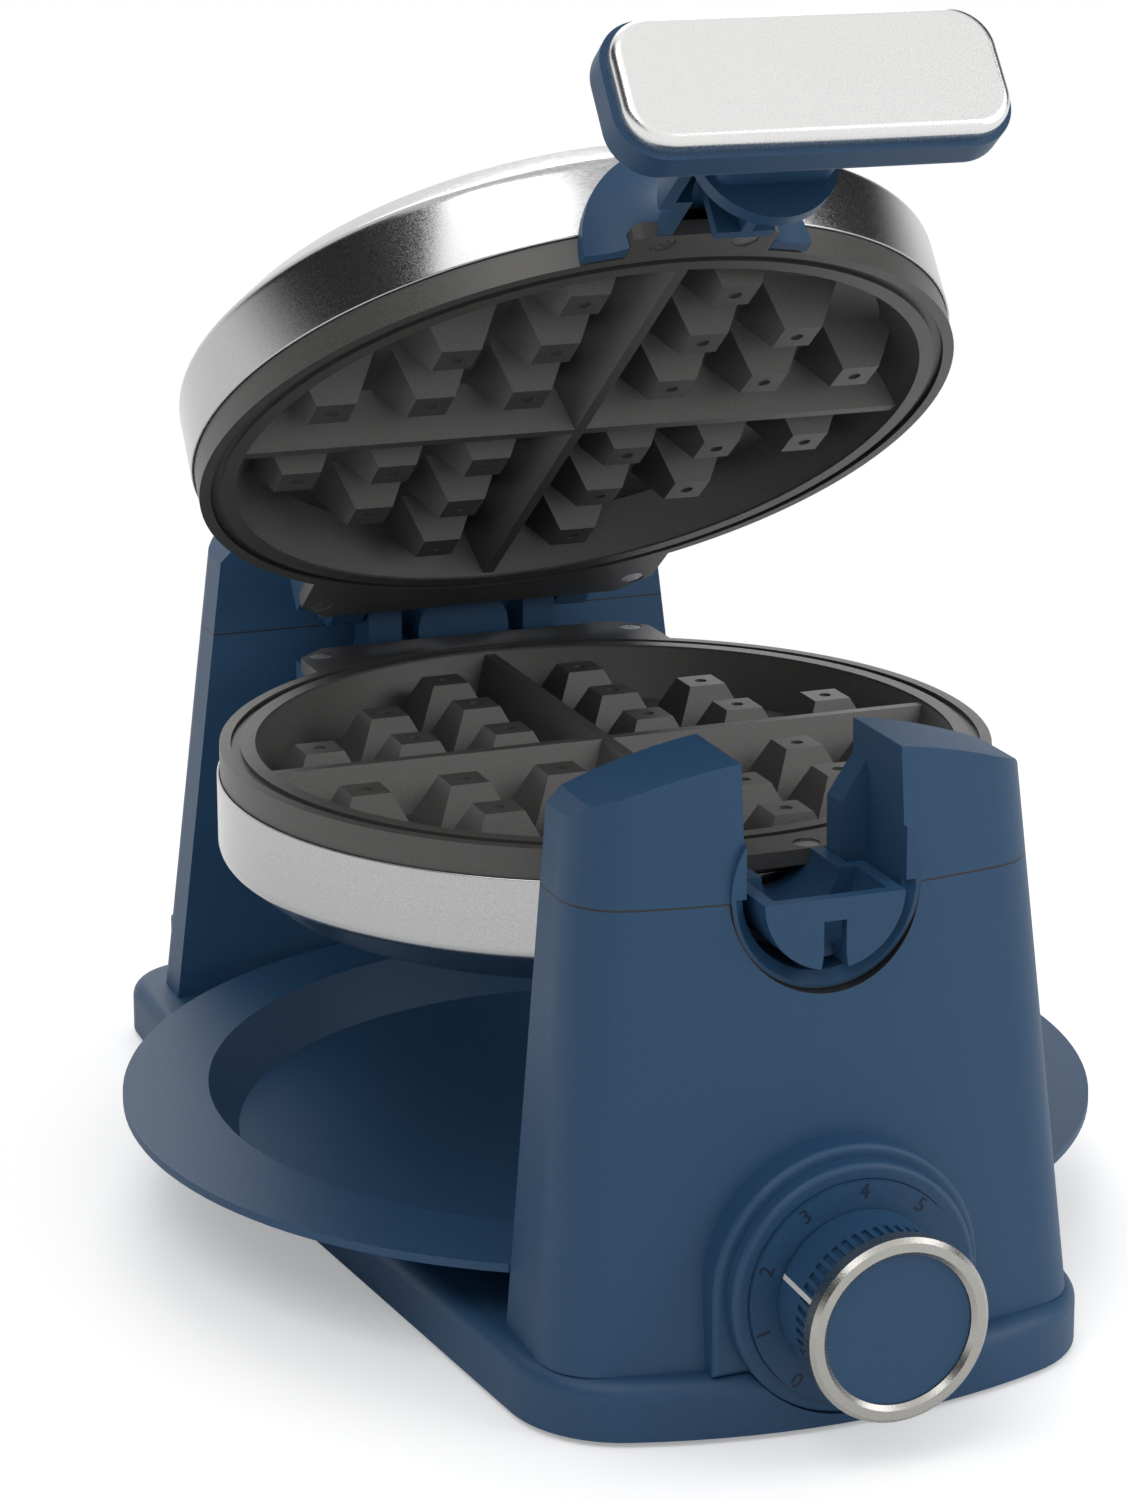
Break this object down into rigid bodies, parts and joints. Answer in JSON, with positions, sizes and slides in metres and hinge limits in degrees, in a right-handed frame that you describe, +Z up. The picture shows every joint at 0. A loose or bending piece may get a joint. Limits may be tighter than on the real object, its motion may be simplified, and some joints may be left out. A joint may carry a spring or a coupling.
{
  "type": "rotary waffle maker",
  "caption": "Rotary round waffle maker: hinged irons that turn between end towers on a plinth, with browning knob, T-bar handle and loose drip tray.",
  "frame": {"origin": "on the table, under the middle of the whole object", "axes": "+Z up, -Y towards the front with the knob, +X to the right seen from the front; the irons turn about a line along Y"},
  "size_m": [0.262, 0.364, 0.3282],
  "materials": {
    "navy_plastic": "fine matte grain",
    "black_plastic": "matte",
    "black_rubber": "matte",
    "zinc_steel": "plain",
    "brushed_shell": "brushed round the rim",
    "nonstick_cast": "dark non-stick coating on cast aluminium",
    "satin_silver": "satin",
    "bush_brass": "turned",
    "white_ceramic": "matte",
    "white_mark": "printed line"
  },
  "bodies": {
    "base": {"base_plinth": "navy_plastic", "bottom_cover": "black_plastic", "rubber_feet": "black_rubber", "base_screws": "zinc_steel", "tower_screws": "zinc_steel", "front_tower": "navy_plastic", "front_tower_cap": "navy_plastic", "rear_tower": "navy_plastic", "rear_tower_cap": "navy_plastic", "pivot_bush": "bush_brass", "dial_ring": "navy_plastic", "thermostat_body": "black_plastic", "thermostat_nut": "zinc_steel", "cord_gland": "black_plastic", "terminal_block": "white_ceramic"},
    "knob": {"knob_body": "navy_plastic", "knob_ring": "satin_silver", "knob_face": "navy_plastic", "knob_pointer": "white_mark", "thermostat_shaft": "zinc_steel"},
    "tray": {"drip_tray": "navy_plastic"},
    "lower_iron": {"lower_shell": "brushed_shell", "lower_plate": "nonstick_cast", "lower_element": "zinc_steel", "lower_hub": "navy_plastic", "lower_bracket": "navy_plastic", "pivot_tube": "zinc_steel", "pivot_clip": "zinc_steel", "hinge_pins": "zinc_steel", "lower_screws": "zinc_steel"},
    "lid": {"upper_shell": "brushed_shell", "upper_plate": "nonstick_cast", "upper_element": "zinc_steel", "upper_hub": "navy_plastic", "upper_bracket": "navy_plastic", "upper_screws": "zinc_steel", "handle_body": "navy_plastic", "handle_cap": "satin_silver", "handle_screws": "zinc_steel"}
  },
  "joints": [
    {"name": "iron_turn", "type": "hinge", "parent": "base", "child": "lower_iron", "pos_m": [0, 0.143, 0.127], "axis": [0, 1, 0], "range_deg": [0, 80]},
    {"name": "lid_hinge", "type": "hinge", "parent": "lower_iron", "child": "lid", "pos_m": [0, 0.131, 0.137], "axis": [-1, 0, 0], "range_deg": [-36.7, 12]},
    {"name": "knob_turn", "type": "hinge", "parent": "base", "child": "knob", "pos_m": [0, -0.164, 0.035], "axis": [0, 1, 0], "range_deg": [-72, 145]},
    {"name": "tray_slide", "type": "slide", "parent": "base", "child": "tray", "axis": [-1, 0, 0], "range_m": [0, 0.28]}
  ]
}
